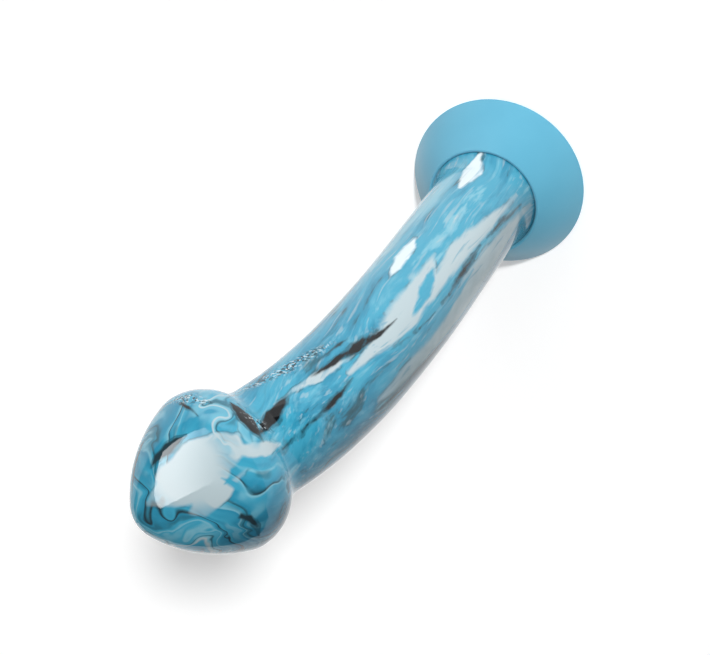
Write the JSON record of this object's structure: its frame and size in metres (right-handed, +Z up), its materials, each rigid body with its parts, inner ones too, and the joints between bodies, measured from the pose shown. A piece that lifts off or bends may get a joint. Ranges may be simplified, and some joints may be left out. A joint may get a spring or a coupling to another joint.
{
  "type": "glass massage wand",
  "caption": "Curved marbled-glass intimate massage wand with a bulbous head, standing in a removable domed silicone suction base.",
  "frame": {"origin": "centre of the suction base's sealing lip, on the surface that it stands on", "axes": "+Z up along the straight lower shaft and the base's axis; +X is the way the wand bends; the wand is symmetric about the XZ plane"},
  "size_m": [0.0735, 0.057, 0.1955],
  "materials": {
    "silicone_blue": "matte",
    "clear_glass": "gloss",
    "marbled_glass": "gloss"
  },
  "bodies": {
    "base": {"suction_base": "silicone_blue"},
    "wand": {"glass_core": "clear_glass", "marbled_layer": "marbled_glass"}
  },
  "joints": [
    {"name": "wand_pull", "type": "slide", "parent": "base", "child": "wand", "axis": [0, 0, 1], "range_m": [0, 0.03]}
  ]
}
